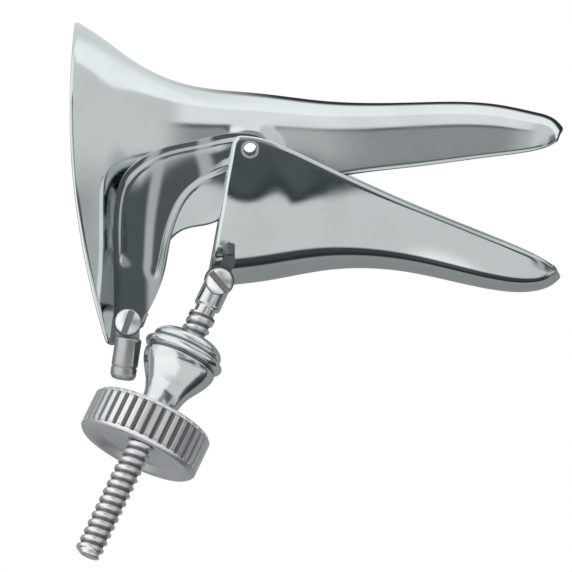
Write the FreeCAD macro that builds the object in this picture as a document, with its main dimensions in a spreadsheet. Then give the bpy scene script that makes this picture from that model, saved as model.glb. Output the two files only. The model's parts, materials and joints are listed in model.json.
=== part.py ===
import FreeCAD, Part
import math
import os
import Sketcher

# Bivalve speculum, small size, lying on its side.
# Frame: origin on the hinge axis midway between the side walls, +X towards the blade tips,
# +Z along the hinge axis towards the screw side, +Y from the lower blade to the upper one.

os.makedirs("parts", exist_ok=True)
doc = FreeCAD.newDocument("speculum")
sheet = doc.addObject("Spreadsheet::Sheet", "sizes")

# Driving dimensions, in millimetres and degrees.
SIZES = {
    "upper_thickness": 1.1,
    "lower_thickness": 1.1,
    "crown_fullness": 0.35,
    "wall_fullness": 0.22,
    "wall_fade": 30.0,
    "lip_bow": 3.9,
    "horn_tuck": 9.0,
    "upper_ear_z": 15.0,
    "lower_ear_z": 18.2,
    "ear_flat_radius": 4.3,
    "ear_blend_radius": 12.5,
    "ear_stock": 0.15,
    "lever_relief": 0.4,
    "ear_corner_radius": 2.4,
    "horn_corner_radius": 3.0,
    "rivet_bore": 1.42,
    "rivet_radius": 1.75,
    "rivet_flange_radius": 2.3,
    "rivet_flange_thickness": 0.35,
    "running_gap": 0.05,
    "seat_gap": 0.02,
    "washer_radius": 3.4,
    "lever_thickness": 1.8,
    "lever_knee_x": -7.4,
    "lever_lug_x": -24.4,
    "lever_lug_z": 26.0,
    "lever_eye_radius": 4.0,
    "lever_crest_x": -12.0,
    "lever_crest_y": 2.0,
    "lever_shoulder_x": -25.2,
    "lever_shoulder_y": -2.6,
    "lever_corner_inset": 0.6,
    "lever_corner_y": -8.6,
    "lever_shank_x": -18.9,
    "lever_shank_y": -26.0,
    "lever_waist_x": -14.3,
    "lever_waist_y": -11.4,
    "lever_neck_x": -6.0,
    "lever_neck_y": -5.9,
    "lever_lug_margin": 0.3,
    "lever_brim_width": 1.3,
    "lever_brim_height": 0.6,
    "lever_brim_start_x": -5.4,
    "lever_brim_end": 5.2,
    "post_screw_x": -27.4,
    "post_screw_y": -38.4,
    "post_screw_head_radius": 2.9,
    "post_screw_head_height": 2.2,
    "post_screw_shank_radius": 1.3,
    "screw_dome_inset": 0.9,
    "screw_dome_height": 0.6,
    "screw_end_gap": 0.1,
    "post_tongue_thickness": 3.0,
    "post_tongue_half_width": 2.6,
    "post_radius": 3.0,
    "post_tilt": 8.5,
    "post_above_pin": 4.6,
    "post_below_pin": 5.0,
    "post_end_round": 1.35,
    "post_tongue_sink": 1.0,
    "post_axis_x": -27.9,
    "post_axis_z": 26.6,
    "window_half_height": 3.6,
    "swivel_pin_y": -46.5,
    "swivel_pin_radius": 1.1,
    "swivel_pin_slant": -0.42,
    "tab_thickness": 2.0,
    "tab_half_width": 2.1,
    "window_clearance": 0.5,
    "fork_pin_x": -7.0,
    "fork_pin_y": -29.5,
    "fork_pin_z": 21.5,
    "eye_radius": 3.05,
    "eye_thickness": 3.2,
    "barrel_start": 1.6,
    "barrel_end": 6.6,
    "spindle_neck_radius": 2.35,
    "thread_start": 9.2,
    "fork_screw_shank_radius": 1.2,
    "fork_screw_head_radius": 2.95,
    "fork_screw_head_height": 2.0,
    "tongue_thickness": 1.6,
    "tongue_play": 0.35,
    "tongue_hole_radius": 2.6,
    "tongue_wall": 0.8,
    "lug_leg_x": -4.8,
    "lug_leg_y": -25.2,
    "lug_leg_radius": 1.45,
    "spindle_slope": 17.0,
    "spindle_heading": 243.95,
    "rod_radius": 3.05,
    "rod_length": 70.4,
    "rod_end_chamfer": 0.7,
    "root_radius": 2.75,
    "root_start": 15.0,
    "root_end": 44.8,
    "dome_top_along": 14.4,
    "bead_along": 18.8,
    "bead_radius": 9.3,
    "upper_bead_radius": 8.2,
    "cone_radius": 8.5,
    "neck_along": 34.2,
    "neck_radius": 4.1,
    "nut_back_along": 34.4,
    "nut_thickness": 9.8,
    "nut_radius": 14.0,
    "nut_flutes": 30,
    "nut_flute_radius": 0.8,
    "nut_rim_chamfer": 0.9,
    "nut_dish_radius": 11.4,
    "nut_dish_depth": 2.6,
    "nut_hub_radius": 5.2,
    "nut_bore_play": 0.1,
}

# Stations along each blade, from the tip to the rear: crown x, crown y, rim x, rim y, half width.
UPPER_STATIONS = {
    "tip": (70.9, 4.2, 69.8, 2.0, 5.2),
    "front": (68.8, 6.4, 67.2, 0.5, 7.6),
    "nose": (64.4, 8.0, 61.8, -0.8, 9.2),
    "bill": (56.0, 9.7, 54.5, -1.8, 10.0),
    "middle": (37.0, 10.2, 36.0, -4.2, 10.6),
    "heel": (17.0, 10.5, 16.0, -7.2, 12.6),
    "hinge": (1.5, 12.3, -0.5, -12.9, 15.0),
    "throat": (-14.0, 14.2, -10.5, -17.4, 16.6),
    "flare": (-27.0, 20.1, -19.3, -23.6, 21.0),
    "leg": (-34.2, 25.4, -24.6, -38.0, 26.6),
    "lip": (-39.2, 28.5, -31.8, -46.6, 30.0),
}
LOWER_STATIONS = {
    "tip": (70.3, -29.2, 69.6, -27.6, 5.6),
    "front": (68.2, -31.0, 66.6, -25.6, 8.2),
    "nose": (64.2, -32.4, 62.0, -23.3, 10.2),
    "bill": (55.5, -32.2, 52.5, -19.4, 11.8),
    "middle": (35.5, -28.1, 34.0, -11.8, 13.0),
    "heel": (18.0, -27.6, 17.0, -3.9, 15.6),
    "ear": (4.0, -30.0, 4.2, 1.9, 17.9),
    "rear": (-9.8, -31.5, -3.1, 3.0, 18.2),
}
NOSE = list(UPPER_STATIONS).index("nose")


def fill_sheet():
    """Write every driving dimension into the sheet with its alias."""
    rows = dict(SIZES)
    for blade, stations in (("upper", UPPER_STATIONS), ("lower", LOWER_STATIONS)):
        for name, values in stations.items():
            for what, value in zip(("crown_x", "crown_y", "rim_x", "rim_y", "half_width"), values):
                rows[f"{blade}_{name}_{what}"] = value
    for row, (alias, value) in enumerate(rows.items(), start=1):
        sheet.set(f"A{row}", alias)
        sheet.set(f"B{row}", str(value))
        sheet.setAlias(f"B{row}", alias)
    doc.recompute()


def size(alias):
    """The number that the sheet holds under an alias."""
    return float(sheet.get(alias))


fill_sheet()
V = FreeCAD.Vector
NODES = []


def keep(shape_object, label):
    """Name a finished sub-part; its label is its file and node name."""
    shape_object.Label = label
    NODES.append(shape_object)
    return shape_object


def feature(label, shape):
    """A sub-part whose shape comes from Part's own functions."""
    item = doc.addObject("Part::Feature", label)
    item.Shape = shape
    return keep(item, label)


# Formed sheet


def station_curves(blade, stations):
    """Smooth curves through the stations: crown, rim and half width against arc length."""
    crown, rim, width = [], [], []
    for name in stations:
        key = f"{blade}_{name}_"
        crown.append(V(size(key + "crown_x"), size(key + "crown_y"), 0))
        rim.append(V(size(key + "rim_x"), size(key + "rim_y"), 0))
        width.append(V(size(key + "half_width"), 0, 0))
    knots = [0.0]
    for first, second in zip(crown, crown[1:]):
        knots.append(knots[-1] + (second - first).Length)
    curves = []
    for points in (crown, rim, width):
        curve = Part.BSplineCurve()
        curve.interpolate(Points=points, Parameters=knots)
        curves.append(curve)
    return curves, knots


def smooth_step(value):
    """Rises from 0 to 1 with level ends."""
    value = min(max(value, 0.0), 1.0)
    return value * value * (3 - 2 * value)


def sheet_point(curves, place, angle, bow, tuck, tip_share, ear_z):
    """A point of the outer face: an arch from the crown (angle 0) to a rim (angle 90 degrees)."""
    crown, rim, width = (curve.value(place) for curve in curves)
    rise, spread = math.cos(angle), math.sin(angle)
    forward = rise ** (1 + tip_share)
    x = rim.x + (crown.x - rim.x) * forward - 4 * bow * rise * (1 - rise)
    y = rim.y + (crown.y - rim.y) * rise
    fullness = (size("crown_fullness")
                + size("wall_fullness") * (1 - smooth_step(abs(x) / size("wall_fade"))))
    z = width.x * abs(spread) * (1 + fullness * rise * rise) - tuck * (1 - rise) ** 3
    side = smooth_step((abs(angle) - math.radians(20)) / math.radians(25))
    z = z + ear_share(x, y) * side * (ear_z + size("ear_stock") - z)
    return V(x, y, math.copysign(z, spread))


def ear_share(x, y):
    """1 where the side wall is flat round the hinge, falling to 0 where it is a free arch."""
    flat, blend = size("ear_flat_radius"), size("ear_blend_radius")
    return 1 - smooth_step((math.hypot(x, y) - flat) / (blend - flat))


def formed_sheet(point_at, places, half_steps, thickness):
    """A solid sheet: the outer face through points, an inner face offset inwards, and its edges."""
    angles = [math.radians(90.0 * step / half_steps) for step in range(-half_steps, half_steps + 1)]
    grid = [[point_at(place, angle) for angle in angles] for place in places]
    outer = Part.BSplineSurface()
    outer.interpolate(grid)
    inner_grid = []
    for row in grid:
        inner_row = []
        for point in row:
            u, v = outer.parameter(point)
            normal = outer.normal(u, v)
            inner_row.append((point, normal))
        inner_grid.append(inner_row)
    middle = len(places) // 2
    crown_point, crown_normal = inner_grid[middle][half_steps]
    chord = grid[middle][0] - crown_point
    chord.z = 0
    inwards = 1 if crown_normal.dot(chord) > 0 else -1
    offset = [[point + normal * inwards * (thickness + 2 * size("ear_stock") * ear_share(point.x, point.y))
               for point, normal in row] for row in inner_grid]
    inner = Part.BSplineSurface()
    inner.interpolate(offset)
    faces = [outer.toShape(), inner.toShape()]
    for outer_edge, inner_edge in zip(faces[0].Edges, faces[1].Edges):
        faces.append(Part.makeRuledSurface(outer_edge, inner_edge))
    shell = Part.Shell(faces)
    shell.sewShape()
    solid = Part.Solid(shell)
    if solid.Volume < 0:
        solid.reverse()
    return solid


def spaced(start, end, count):
    """Evenly spaced places from start to end."""
    return [start + (end - start) * step / (count - 1) for step in range(count)]


def hinge_bore(solid, radius):
    """Both ears are drilled in one pass along the hinge axis."""
    reach = 2 * size("lower_ear_z")
    return solid.cut(Part.makeCylinder(radius, 2 * reach, V(0, 0, -reach)))


def hinge_flats(solid, ear_z, thickness):
    """Spot-face both ears outside and inside, down to the sheet's thickness, so that all seats flat."""
    radius, stock = size("ear_flat_radius"), 4 * size("ear_stock")
    for side in (1, -1):
        outside = Part.makeCylinder(radius, stock, V(0, 0, side * ear_z), V(0, 0, side))
        inside = Part.makeCylinder(radius, stock, V(0, 0, side * (ear_z - thickness)), V(0, 0, -side))
        solid = solid.cut(outside).cut(inside)
    return solid


def round_corner(solid, corner, first, second, radius):
    """Round a corner of the sheet seen along Z; its two edges leave it along first and second."""
    corner = V(corner.x, corner.y, 0)
    first, second = V(first.x, first.y, 0).normalize(), V(second.x, second.y, 0).normalize()
    middle = (first + second).normalize()
    half = first.getAngle(second) / 2
    centre = corner + middle * (radius / math.sin(half))
    reach = radius / math.tan(half)
    outline = [corner + first * reach, corner - middle * radius, corner + second * reach, centre]
    tall = 4 * size("lower_ear_z")
    tool = Part.Face(Part.makePolygon(outline + outline[:1])).extrude(V(0, 0, tall))
    tool = tool.cut(Part.makeCylinder(radius, tall, centre))
    tool.translate(V(0, 0, -tall / 2))
    return solid.cut(tool)


def rear_corner(solid, curves, point_at, end, radius):
    """Round the rear corner at both rims of a blade."""
    corner, forward = curves[1].value(end), curves[1].tangent(end)[0] * -1
    inward = point_at(end, math.radians(80)) - point_at(end, math.radians(90))
    return round_corner(solid, corner, forward, inward, radius)


def upper_blade():
    curves, knots = station_curves("upper", UPPER_STATIONS)
    start, end = knots[list(UPPER_STATIONS).index("hinge")], knots[-1]

    def point_at(place, angle):
        flare = smooth_step((place - start) / (end - start))
        return sheet_point(curves, place, angle, size("lip_bow") * flare, size("horn_tuck") * flare,
                           1 - smooth_step(place / knots[NOSE]), size("upper_ear_z"))

    solid = formed_sheet(point_at, spaced(0, end, 40), 14, size("upper_thickness"))
    solid = rear_corner(solid, curves, point_at, end, size("horn_corner_radius"))
    solid = hinge_flats(solid, size("upper_ear_z"), size("upper_thickness"))
    return feature("upper_blade", hinge_bore(solid, size("rivet_radius") + size("seat_gap")))


def lower_blade():
    curves, knots = station_curves("lower", LOWER_STATIONS)

    def point_at(place, angle):
        return sheet_point(curves, place, angle, 0, 0, 1 - smooth_step(place / knots[NOSE]),
                           size("lower_ear_z"))

    solid = formed_sheet(point_at, spaced(0, knots[-1], 34), 14, size("lower_thickness"))
    solid = rear_corner(solid, curves, point_at, knots[-1], size("ear_corner_radius"))
    solid = hinge_flats(solid, size("lower_ear_z"), size("lower_thickness"))
    return feature("lower_blade", hinge_bore(solid, size("rivet_radius") + size("running_gap")))


# Turned pieces


def turned(label, profile, placement):
    """A body turned about its own Z: a closed profile of (radius, height) expressions."""
    body = doc.addObject("PartDesign::Body", label + "_body")
    plane = next(item for item in body.Origin.OriginFeatures if item.Role == "XZ_Plane")
    sketch = body.newObject("Sketcher::SketchObject", label + "_profile")
    sketch.AttachmentSupport = [(plane, "")]
    sketch.MapMode = "FlatFace"
    sheet_sizes = sheet_values()
    corners = [V(evaluate(radius, sheet_sizes), evaluate(height, sheet_sizes), 0)
               for radius, height in profile]
    count = len(corners)
    for index, corner in enumerate(corners):
        sketch.addGeometry(Part.LineSegment(corner, corners[(index + 1) % count]), False)
    for index in range(count):
        sketch.addConstraint(Sketcher.Constraint("Coincident", index, 2, (index + 1) % count, 1))
    for index, (radius, height) in enumerate(profile):
        for axis, value, expression in (("DistanceX", corners[index].x, radius),
                                        ("DistanceY", corners[index].y, height)):
            number = sketch.addConstraint(Sketcher.Constraint(axis, -1, 1, index, 1, value))
            sketch.setExpression(f"Constraints[{number}]", bound(expression))
    turn = body.newObject("PartDesign::Revolution", label + "_turn")
    turn.Profile = sketch
    turn.ReferenceAxis = (sketch, ["V_Axis"])
    turn.Angle = 360
    body.Placement = placement
    return body


def sheet_values():
    """Every alias of the sheet with its number."""
    return {alias: size(alias) for alias in SIZES}


def evaluate(expression, values):
    """The number that a signed sum of aliases and plain numbers stands for."""
    total = 0.0
    for sign, word in signed_words(expression):
        total += sign * (values[word] if word in values else float(word))
    return total


def signed_words(expression):
    """Split a sum such as 'one + two - 0.5' into signed words."""
    words = str(expression).split()
    signs = {"+": 1, "-": -1}
    sign, pairs = 1, []
    for word in words:
        if word in signs:
            sign = signs[word]
        else:
            pairs.append((sign, word))
            sign = 1
    return pairs


def bound(expression):
    """The same sum as a sheet expression."""
    text = ""
    for sign, word in signed_words(expression):
        text += (" + " if sign > 0 else " - ") + (f"sizes.{word}" if word in SIZES else word)
    return text.strip(" +") if text.startswith(" +") else text.strip()


def along(start, direction, distance):
    """The point at a distance from start."""
    return start + direction * distance


def facing(point, direction):
    """A placement at point whose own Z points along direction."""
    return FreeCAD.Placement(point, FreeCAD.Rotation(V(0, 0, 1), direction))


def flute_ring(body, label):
    """Straight flutes round a turned body: one pocket, repeated about its axis."""
    plane = next(item for item in body.Origin.OriginFeatures if item.Role == "XY_Plane")
    sketch = body.newObject("Sketcher::SketchObject", label + "_flute")
    sketch.AttachmentSupport = [(plane, "")]
    sketch.MapMode = "FlatFace"
    radius, groove = size("nut_radius"), size("nut_flute_radius")
    sketch.addGeometry(Part.Circle(V(radius, 0, 0), V(0, 0, 1), groove), False)
    sketch.addConstraint(Sketcher.Constraint("PointOnObject", 0, 3, -1))
    place = sketch.addConstraint(Sketcher.Constraint("DistanceX", -1, 1, 0, 3, radius))
    sketch.setExpression(f"Constraints[{place}]", "sizes.nut_radius")
    round_size = sketch.addConstraint(Sketcher.Constraint("Radius", 0, groove))
    sketch.setExpression(f"Constraints[{round_size}]", "sizes.nut_flute_radius")
    pocket = body.newObject("PartDesign::Pocket", label + "_groove")
    pocket.Profile = sketch
    pocket.Type = 0
    pocket.setExpression("Length", "sizes.nut_thickness")
    pocket.Reversed = True
    doc.recompute()
    pattern = body.newObject("PartDesign::PolarPattern", label + "_flutes")
    pattern.Originals = [pocket]
    pattern.Axis = (sketch, ["N_Axis"])
    pattern.Angle = 360
    pattern.setExpression("Occurrences", "sizes.nut_flutes")
    body.Tip = pattern


# Places on the screw side

FORK_PIN = V(size("fork_pin_x"), size("fork_pin_y"), size("fork_pin_z"))
HEADING = math.radians(size("spindle_heading"))
SLOPE = math.radians(size("spindle_slope"))
OUTWARD = V(math.cos(SLOPE) * math.cos(HEADING), math.cos(SLOPE) * math.sin(HEADING), math.sin(SLOPE))
SWIVEL_PIN = V(size("post_axis_x"), size("swivel_pin_y"), size("post_axis_z"))
SWIVEL_AXIS = V(size("swivel_pin_slant"), 0, 1).normalize()
TILT = math.radians(size("post_tilt"))
POST_AXIS = V(-math.sin(TILT), -math.cos(TILT), 0)
UP = V(0, 0, 1)


def hinge_rivets():
    """A tubular rivet on each side holds an upper wall and a lower ear together."""
    inside = "upper_ear_z - upper_thickness - rivet_flange_thickness"
    profile = [
        ("rivet_bore", inside),
        ("rivet_flange_radius", inside),
        ("rivet_flange_radius", "upper_ear_z - upper_thickness"),
        ("rivet_radius", "upper_ear_z - upper_thickness"),
        ("rivet_radius", "lower_ear_z + running_gap"),
        ("rivet_flange_radius", "lower_ear_z + running_gap"),
        ("rivet_flange_radius", "lower_ear_z + running_gap + rivet_flange_thickness"),
        ("rivet_bore", "lower_ear_z + running_gap + rivet_flange_thickness"),
    ]
    keep(turned("near_rivet", profile, facing(V(0, 0, 0), UP)), "near_hinge_rivet")
    keep(turned("far_rivet", profile, facing(V(0, 0, 0), -UP)), "far_hinge_rivet")


def far_washer():
    """Where the near side has the lever plate, the far side has a washer of its thickness."""
    profile = [
        ("rivet_radius + seat_gap", "upper_ear_z"),
        ("washer_radius", "upper_ear_z"),
        ("washer_radius", "upper_ear_z + lever_thickness"),
        ("rivet_radius + seat_gap", "upper_ear_z + lever_thickness"),
    ]
    keep(turned("far_washer", profile, facing(V(0, 0, 0), -UP)), "far_hinge_washer")


def lever_side(lift, thick):
    """Side section of the cranked plate, lifted by lift: flat at the hinge and at the lug."""
    low, high = size("upper_ear_z") + lift, size("lever_lug_z") + lift
    knee, lug = size("lever_knee_x"), size("lever_lug_x")
    front, back = size("lever_eye_radius"), 2 * size("post_screw_x")
    lead = thick * math.tan(math.atan2(high - low, knee - lug) / 2)
    corners = [V(front, 0, low), V(knee, 0, low), V(lug, 0, high), V(back, 0, high),
               V(back, 0, high + thick), V(lug + lead, 0, high + thick),
               V(knee + lead, 0, low + thick), V(front, 0, low + thick)]
    return Part.Face(Part.makePolygon(corners + corners[:1]))


def lever_outline():
    """Boomerang outline of the lever, from the rivet's eye to the post screw's lug."""
    eye, margin = size("lever_eye_radius"), size("lever_lug_margin")
    lug_x, lug_y = size("post_screw_x"), size("post_screw_y")
    lug_radius = size("post_screw_head_radius") + margin
    left = lug_x - lug_radius
    start, foot = V(0, eye, 0), V(lug_x + lug_radius, lug_y, 0)
    corner = V(left + size("lever_corner_inset"), size("lever_corner_y"), 0)
    outer = Part.BSplineCurve()
    outer.interpolate([start, V(size("lever_crest_x"), size("lever_crest_y"), 0),
                       V(size("lever_shoulder_x"), size("lever_shoulder_y"), 0), corner],
                      Tangents=[V(-1, 0, 0), V(-1, -0.15, 0), V(-0.8, -0.6, 0), V(-0.25, -1, 0)],
                      TangentFlags=[True] * 4)
    inner = Part.BSplineCurve()
    inner.interpolate([foot, V(size("lever_shank_x"), size("lever_shank_y"), 0),
                       V(size("lever_waist_x"), size("lever_waist_y"), 0),
                       V(size("lever_neck_x"), size("lever_neck_y"), 0), V(0, -eye, 0)])
    round_eye = Part.Arc(start, V(eye, 0, 0), V(0, -eye, 0))
    left_edge = Part.LineSegment(corner, V(left, lug_y, 0))
    round_lug = Part.Arc(V(left, lug_y, 0), V(lug_x, lug_y - lug_radius, 0), foot)
    edges = [curve.toShape() for curve in (outer, left_edge, round_lug, inner, round_eye)]
    return Part.Face(Part.Wire(Part.__sortEdges__(edges)))


def lever():
    """A boomerang plate, cranked to clear the flared collar, with a raised brim on its outer edge."""
    thick, brim = size("lever_thickness"), size("lever_brim_width")
    lug_x, lug_y = size("post_screw_x"), size("post_screw_y")
    tall = 3 * abs(lug_y)
    low_end = V(0, lug_y - size("lever_eye_radius"), 0)
    plate = lever_side(0, thick)
    plate.translate(low_end)
    above = lever_side(thick - size("lever_brim_height"), thick)
    above.translate(low_end)
    blank = lever_outline().extrude(V(0, 0, tall))
    solid = plate.extrude(V(0, tall, 0)).common(blank)
    inset = blank.translated(V(brim, -brim, 0))
    dish = Part.makeBox(tall, tall, tall, V(size("lever_brim_start_x") - tall,
                                            lug_y + size("lever_brim_end"), 0))
    solid = solid.cut(above.extrude(V(0, tall, 0)).common(inset).common(dish))
    relief = Part.makeCylinder(tall, size("upper_ear_z") + size("lever_relief"))
    solid = solid.cut(relief.cut(Part.makeCylinder(size("ear_flat_radius") - size("lever_relief"), tall)))
    rivet_hole = Part.makeCylinder(size("rivet_radius") + size("seat_gap"), tall)
    screw_hole = Part.makeCylinder(size("post_screw_shank_radius") + size("seat_gap"), tall,
                                   V(lug_x, lug_y, 0))
    return feature("lever", solid.cut(rivet_hole).cut(screw_hole))


def screw(name, bottom, placement):
    """A screw with a low domed head, whose underside is at its own origin."""
    shank, head, height = (f"{name}_{what}" for what in ("shank_radius", "head_radius", "head_height"))
    profile = [("0", bottom), (shank, bottom), (shank, "0"), (head, "0"),
               (head, f"{height} - screw_dome_height"), (f"{head} - screw_dome_inset", height),
               ("0", height)]
    return keep(turned(name + "_turning", profile, placement), name)


def post_barrel():
    """The round part of the post, from above the swivel's pin to below it."""
    above, below = size("post_above_pin"), size("post_below_pin")
    return Part.makeCylinder(size("post_radius"), above + below, along(SWIVEL_PIN, POST_AXIS, -above),
                             POST_AXIS)


def post():
    """The swivel post: a tongue under the lever's lug, and a round post with a window."""
    radius, sink = size("post_radius"), size("post_tongue_sink")
    barrel = post_barrel()
    end = along(SWIVEL_PIN, POST_AXIS, size("post_below_pin"))
    barrel = barrel.makeFillet(size("post_end_round"), [edge for edge in barrel.Edges
                                                        if edge.CenterOfMass.distanceToPoint(end) < radius])
    half, thick = size("post_tongue_half_width"), size("post_tongue_thickness")
    screw_x, screw_y = size("post_screw_x"), size("post_screw_y")
    tongue_z = size("lever_lug_z") - thick
    top = along(SWIVEL_PIN, POST_AXIS, sink - size("post_above_pin"))
    tongue = Part.makeBox(2 * half, screw_y - top.y, thick, V(screw_x - half, top.y, tongue_z))
    tongue = tongue.fuse(Part.makeCylinder(half, thick, V(screw_x, screw_y, tongue_z)))
    solid = barrel.fuse(tongue).removeSplitter()
    shank = size("post_screw_shank_radius") + size("seat_gap")
    solid = solid.cut(Part.makeCylinder(shank, 4 * thick, V(screw_x, screw_y, tongue_z - thick)))
    half_window = size("window_half_height")
    gap = size("tab_thickness") + 2 * size("window_clearance")
    window = Part.makeBox(4 * radius, 2 * half_window, gap, V(-2 * radius, -half_window, -gap / 2))
    window.Placement = facing(SWIVEL_PIN, SWIVEL_AXIS)
    pin_hole = Part.makeCylinder(size("swivel_pin_radius") + size("seat_gap"), 4 * radius,
                                 along(SWIVEL_PIN, SWIVEL_AXIS, -2 * radius), SWIVEL_AXIS)
    return feature("swivel_post", solid.cut(window).cut(pin_hole))


def swivel_pin():
    """The pin that the swivel turns on, trimmed flush with the round post."""
    radius = size("post_radius")
    rod = Part.makeCylinder(size("swivel_pin_radius"), 4 * radius,
                            along(SWIVEL_PIN, SWIVEL_AXIS, -2 * radius), SWIVEL_AXIS)
    return feature("swivel_pin", rod.common(post_barrel()))


def swivel():
    """The turned swivel: domed top, two beads and a waisted cone, with a tab to the post."""
    bore = "rod_radius + nut_bore_play"
    profile = [
        (bore, "dome_top_along + 0.9"),
        ("rod_radius + 0.9", "dome_top_along + 0.1"),
        ("upper_bead_radius - 1.9", "dome_top_along + 0.5"),
        ("upper_bead_radius - 0.5", "dome_top_along + 1.4"),
        ("upper_bead_radius", "dome_top_along + 2.3"),
        ("upper_bead_radius - 0.2", "bead_along - 1.2"),
        ("bead_radius - 0.3", "bead_along - 0.8"),
        ("bead_radius", "bead_along"),
        ("bead_radius - 0.3", "bead_along + 0.8"),
        ("cone_radius - 0.4", "bead_along + 1.3"),
        ("cone_radius", "bead_along + 2.0"),
        ("cone_radius - 0.9", "bead_along + 4.4"),
        ("neck_radius + 2.0", "bead_along + 7.4"),
        ("neck_radius + 0.6", "bead_along + 10.2"),
        ("neck_radius", "neck_along - 2.2"),
        ("neck_radius", "neck_along"),
        (bore, "neck_along"),
    ]
    body = turned("swivel_turning", profile, facing(FORK_PIN, OUTWARD))
    doc.recompute()
    thick, half = size("tab_thickness"), size("tab_half_width")
    reach = (along(FORK_PIN, OUTWARD, size("bead_along")) - SWIVEL_PIN).Length
    tab = Part.makeBox(reach, 2 * half, thick, V(0, -half, -thick / 2))
    tab = tab.fuse(Part.makeCylinder(half, thick, V(0, 0, -thick / 2)))
    target = along(FORK_PIN, OUTWARD, size("bead_along") - 0.6)
    frame = facing(SWIVEL_PIN, SWIVEL_AXIS)
    local = frame.inverse().multVec(target)
    turn = FreeCAD.Rotation(V(0, 0, 1), math.degrees(math.atan2(local.y, local.x)))
    tab.Placement = FreeCAD.Placement(frame.Base, frame.Rotation.multiply(turn))
    hole = Part.makeCylinder(size("swivel_pin_radius") + size("running_gap"), 4 * thick,
                             along(SWIVEL_PIN, SWIVEL_AXIS, -2 * thick), SWIVEL_AXIS)
    core = Part.makeCylinder(size("rod_radius") + 0.5, size("rod_length"), FORK_PIN, OUTWARD)
    solid = body.Shape.fuse(tab.cut(hole).cut(core))
    return feature("swivel_nut_seat", solid)


def blade_lug():
    """A lug on the lower blade: a short leg, and a tongue that lies under the spindle's eye."""
    thick, leg_radius = size("tongue_thickness"), size("lug_leg_radius")
    hole = size("tongue_hole_radius")
    low = size("fork_pin_z") - size("eye_thickness") / 2 - size("tongue_play") - thick
    pin = V(size("fork_pin_x"), size("fork_pin_y"), low)
    leg = V(size("lug_leg_x"), size("lug_leg_y"), low)
    tongue = Part.makeCylinder(hole + size("tongue_wall"), thick, pin)
    bar = Part.makeBox((leg - pin).Length, 2 * leg_radius, thick, V(0, -leg_radius, 0))
    bar.Placement = FreeCAD.Placement(pin, FreeCAD.Rotation(V(1, 0, 0), leg - pin))
    post_leg = Part.makeCylinder(leg_radius, low + thick, V(leg.x, leg.y, 0))
    solid = tongue.fuse(bar).fuse(post_leg).cut(Part.makeCylinder(hole, 3 * thick, pin - UP * thick))
    pieces = solid.cut(doc.getObject("lower_blade").Shape).Solids
    return feature("blade_lug", max(pieces, key=lambda piece: piece.BoundBox.ZMax))


def spindle():
    """The spindle: a flat eye over the blade's tongue, then barrel, neck and threaded rod."""
    profile = [
        ("0", "barrel_start"),
        ("eye_radius", "barrel_start"),
        ("eye_radius", "barrel_end"),
        ("spindle_neck_radius", "barrel_end"),
        ("spindle_neck_radius", "thread_start"),
        ("rod_radius", "thread_start"),
        ("rod_radius", "root_start"),
        ("root_radius", "root_start"),
        ("root_radius", "root_end"),
        ("rod_radius", "root_end"),
        ("rod_radius", "rod_length - rod_end_chamfer"),
        ("rod_radius - rod_end_chamfer", "rod_length"),
        ("0", "rod_length"),
    ]
    rod = turned("spindle_turning", profile, facing(FORK_PIN, OUTWARD))
    doc.recompute()
    thick, reach = size("eye_thickness"), size("barrel_end")
    low, high = FORK_PIN - UP * (thick / 2), FORK_PIN + UP * (thick / 2)
    solid = rod.Shape.fuse(Part.makeCylinder(size("eye_radius"), thick, low))
    solid = solid.cut(Part.makeCylinder(reach, reach, low, -UP))
    head_seat = size("fork_screw_head_radius") + size("seat_gap")
    solid = solid.cut(Part.makeCylinder(head_seat, reach, high))
    hole = Part.makeCylinder(size("fork_screw_shank_radius") + size("seat_gap"), 3 * thick,
                             FORK_PIN - UP * (1.5 * thick))
    return feature("spindle", solid.cut(hole).removeSplitter())


def knurled_nut():
    """The hand nut: a dished disc with straight flutes and a hub that bears on the swivel."""
    profile = [
        ("rod_radius + nut_bore_play", "0"),
        ("nut_radius - nut_rim_chamfer", "0"),
        ("nut_radius", "nut_rim_chamfer"),
        ("nut_radius", "nut_thickness - nut_rim_chamfer"),
        ("nut_radius - nut_rim_chamfer", "nut_thickness"),
        ("nut_dish_radius", "nut_thickness"),
        ("nut_hub_radius", "nut_thickness - nut_dish_depth"),
        ("rod_radius + nut_bore_play", "nut_thickness - nut_dish_depth"),
    ]
    place = along(FORK_PIN, OUTWARD, size("nut_back_along"))
    body = turned("knurled_nut", profile, facing(place, OUTWARD))
    doc.recompute()
    flute_ring(body, "knurled_nut")
    return keep(body, "knurled_nut")


def export():
    """Recompute, refuse anything failed or empty, and write each sub-part."""
    doc.recompute()
    for item in doc.Objects:
        if "Invalid" in item.State or "Error" in item.State:
            raise RuntimeError(f"{item.Name} failed: {item.State}")
    for item in NODES:
        shape = item.Shape
        if shape.isNull() or not shape.isValid() or not shape.Solids:
            raise RuntimeError(f"{item.Label} has no valid solid")
        shape.exportStep(f"parts/{item.Label}.step")
        box = shape.BoundBox
        print(f"{item.Label}: {len(shape.Solids)} solid, {shape.Volume:.1f} mm3, "
              f"z {box.ZMin:.2f} to {box.ZMax:.2f}")


upper_blade()
lower_blade()
hinge_rivets()
far_washer()
lever()
screw("post_screw", "screw_end_gap - lever_thickness - post_tongue_thickness",
      facing(V(size("post_screw_x"), size("post_screw_y"), size("lever_lug_z") + size("lever_thickness")),
             UP))
post()
swivel_pin()
swivel()
blade_lug()
spindle()
screw("fork_screw", "0 - eye_thickness - tongue_play - tongue_thickness",
      facing(FORK_PIN + UP * (size("eye_thickness") / 2), UP))
knurled_nut()
export()
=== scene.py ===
import json

import bmesh
import bpy
import numpy as np
from bpy.props import FloatProperty, FloatVectorProperty, IntProperty, PointerProperty
from mathutils import Matrix, Vector


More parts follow.
